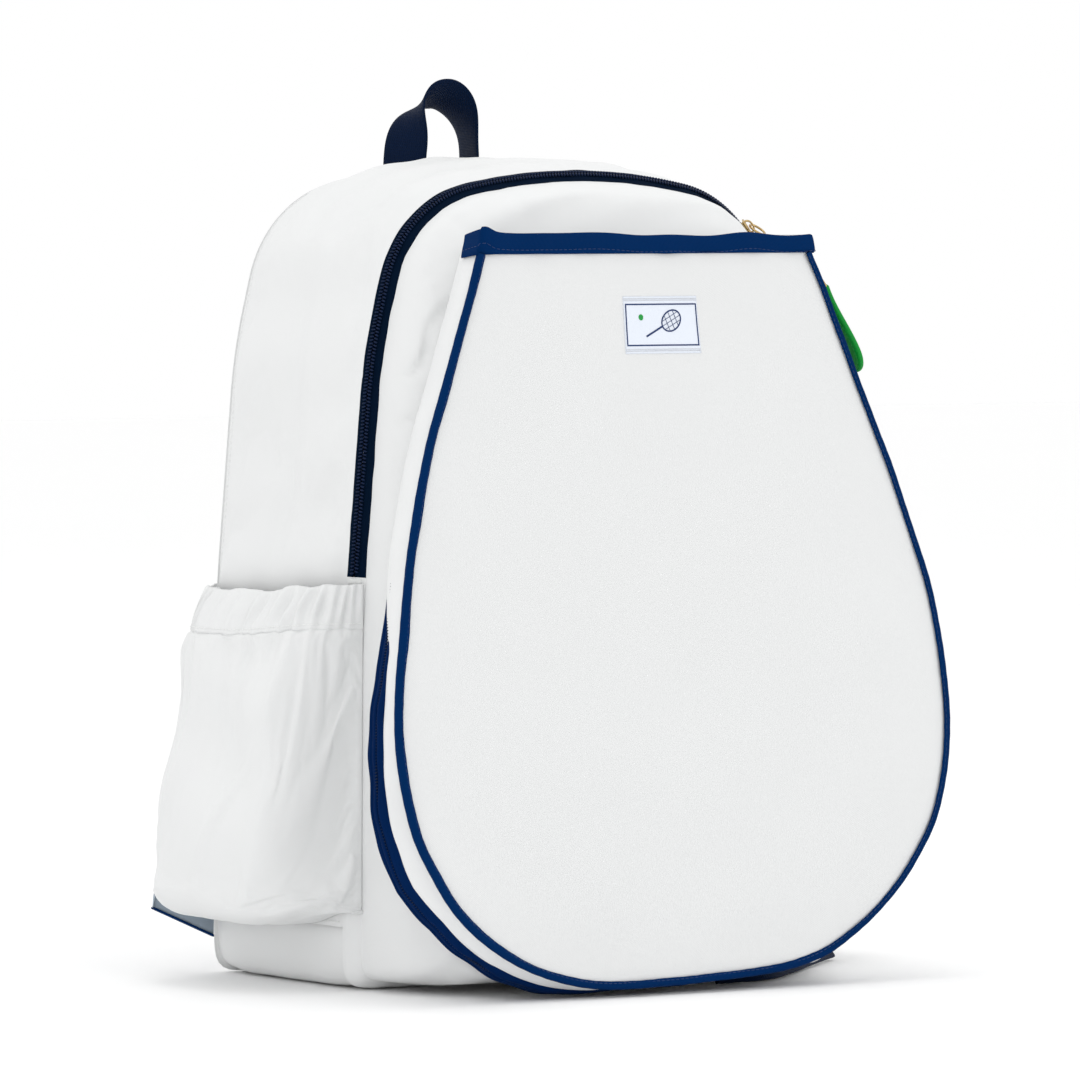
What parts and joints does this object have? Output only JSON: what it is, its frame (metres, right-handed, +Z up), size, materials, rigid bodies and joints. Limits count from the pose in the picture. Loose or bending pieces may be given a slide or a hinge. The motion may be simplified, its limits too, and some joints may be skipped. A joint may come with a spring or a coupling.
{
  "type": "racket backpack",
  "caption": "White nylon backpack with a teardrop racket sleeve on the front, navy zips and binding, side bottle pockets, grab handle and padded straps.",
  "frame": {"origin": "middle of the main compartment's flat base, on the surface it stands on", "axes": "+Z up; -Y towards the front, where the racket sleeve is; +X to the right as seen from the front"},
  "size_m": [0.3994, 0.2921, 0.4605],
  "materials": {
    "white_nylon": "matte woven nylon, slight sheen",
    "white_canvas": "fine canvas",
    "navy_binding": "grosgrain binding",
    "zip_tape": "knitted zip tape",
    "zip_coil": "nylon coil",
    "navy_webbing": "ribbed webbing",
    "gold_metal": "light gold plate",
    "green_tag": "smooth coated leather",
    "label_weave": "woven satin",
    "pad_cloth": "matte woven nylon",
    "anchor_cloth": "woven nylon",
    "lining_cloth": "thin smooth lining",
    "foam": "closed-cell foam",
    "stiffener": "polyethylene board",
    "buckle_plastic": "moulded acetal"
  },
  "bodies": {
    "bag": {"main_gusset": "white_nylon", "base_panel": "white_nylon", "gusset_lining": "lining_cloth", "base_stiffener": "stiffener", "back_panel_cover": "pad_cloth", "back_foam_pad": "foam", "back_lining": "lining_cloth", "front_panel": "white_nylon", "strap_yoke": "pad_cloth", "zip_outer_tape": "zip_tape", "zip_outer_coil": "zip_coil", "zip_inner_tape": "zip_tape", "zip_inner_coil": "zip_coil", "zip_end_stops": "white_nylon", "sleeve_back_panel": "white_nylon", "sleeve_back_piping": "navy_binding", "sleeve_zip_tape_back": "zip_tape", "sleeve_zip_coil_back": "zip_coil", "side_pocket_left": "white_nylon", "side_pocket_right": "white_nylon", "pocket_elastic_left": "white_nylon", "pocket_elastic_right": "white_nylon", "strap_root_left": "pad_cloth", "strap_root_right": "pad_cloth", "strap_anchor_left": "anchor_cloth", "strap_anchor_right": "anchor_cloth"},
    "top_flap": {"flap_panel": "white_nylon", "flap_zip_tape": "zip_tape", "flap_zip_coil": "zip_coil"},
    "sleeve_cover": {"sleeve_zip_coil_front": "zip_coil", "sleeve_zip_tape_front": "zip_tape", "sleeve_gusset": "white_canvas", "sleeve_front_panel": "white_canvas", "sleeve_front_foam": "foam", "sleeve_front_lining": "lining_cloth", "sleeve_front_binding": "navy_binding", "sleeve_mouth_binding": "navy_binding", "label_patch": "label_weave"},
    "main_slider_upper": {"main_slider_upper": "gold_metal"},
    "main_pull_upper": {"main_pull_upper": "gold_metal"},
    "main_slider_lower": {"main_slider_lower": "gold_metal"},
    "main_pull_lower": {"main_pull_lower": "gold_metal"},
    "sleeve_slider": {"sleeve_slider": "gold_metal"},
    "pull_tag": {"tag_ring": "gold_metal", "pull_tag": "green_tag"},
    "handle": {"grab_handle": "navy_webbing"},
    "strap_left": {"strap_pad_cover_left": "pad_cloth", "strap_pad_foam_left": "foam", "lower_webbing_left": "navy_webbing", "ladder_lock_left": "buckle_plastic"},
    "strap_right": {"strap_pad_cover_right": "pad_cloth", "strap_pad_foam_right": "foam", "lower_webbing_right": "navy_webbing", "ladder_lock_right": "buckle_plastic"}
  },
  "joints": [
    {"name": "flap_fold", "type": "hinge", "parent": "bag", "child": "top_flap", "pos_m": [0, -0.1013, 0.376], "axis": [1, 0, 0], "range_deg": [0, 45]},
    {"name": "sleeve_cover_hinge", "type": "hinge", "parent": "bag", "child": "sleeve_cover", "pos_m": [-0.17, -0.12429, 0.19292], "axis": [-0.3187, -0.1204, -0.9402], "range_deg": [0, 100]},
    {"name": "main_slider_upper_travel", "type": "hinge", "parent": "bag", "child": "main_slider_upper", "pos_m": [0.05393, -0.06683, 0.34466], "axis": [0, 1, 0], "range_deg": [-34, 0]},
    {"name": "main_pull_upper_swing", "type": "hinge", "parent": "main_slider_upper", "child": "main_pull_upper", "pos_m": [0.10592, -0.06913, 0.38676], "axis": [-0.4311, -0.8321, -0.3491], "range_deg": [0, 90]},
    {"name": "main_slider_lower_travel", "type": "hinge", "parent": "bag", "child": "main_slider_lower", "pos_m": [0.05393, -0.06683, 0.34466], "axis": [0, 1, 0], "range_deg": [0, 11]},
    {"name": "main_pull_lower_swing", "type": "hinge", "parent": "main_slider_lower", "child": "main_pull_lower", "pos_m": [0.11198, -0.06913, 0.37791], "axis": [-0.4813, -0.8321, -0.2757], "range_deg": [0, 90]},
    {"name": "sleeve_slider_travel", "type": "slide", "parent": "bag", "child": "sleeve_slider", "axis": [0.3187, -0.1204, -0.9402], "range_m": [0, 0.095]},
    {"name": "pull_tag_swing", "type": "hinge", "parent": "sleeve_slider", "child": "pull_tag", "pos_m": [0.11719, -0.11043, 0.36009], "axis": [0, -0.9919, 0.1271], "range_deg": [0, 120]},
    {"name": "handle_fold", "type": "hinge", "parent": "bag", "child": "handle", "pos_m": [0, 0.063, 0.4164], "axis": [1, 0, 0], "range_deg": [-50, 50]},
    {"name": "strap_right_swing", "type": "hinge", "parent": "bag", "child": "strap_right", "pos_m": [0.038, 0.0785, 0.394], "axis": [0.348, -0.0281, -0.9371], "range_deg": [-10, 35]},
    {"name": "strap_left_swing", "type": "hinge", "parent": "bag", "child": "strap_left", "pos_m": [-0.038, 0.0785, 0.394], "axis": [0.348, 0.0281, 0.9371], "range_deg": [-10, 35]}
  ]
}
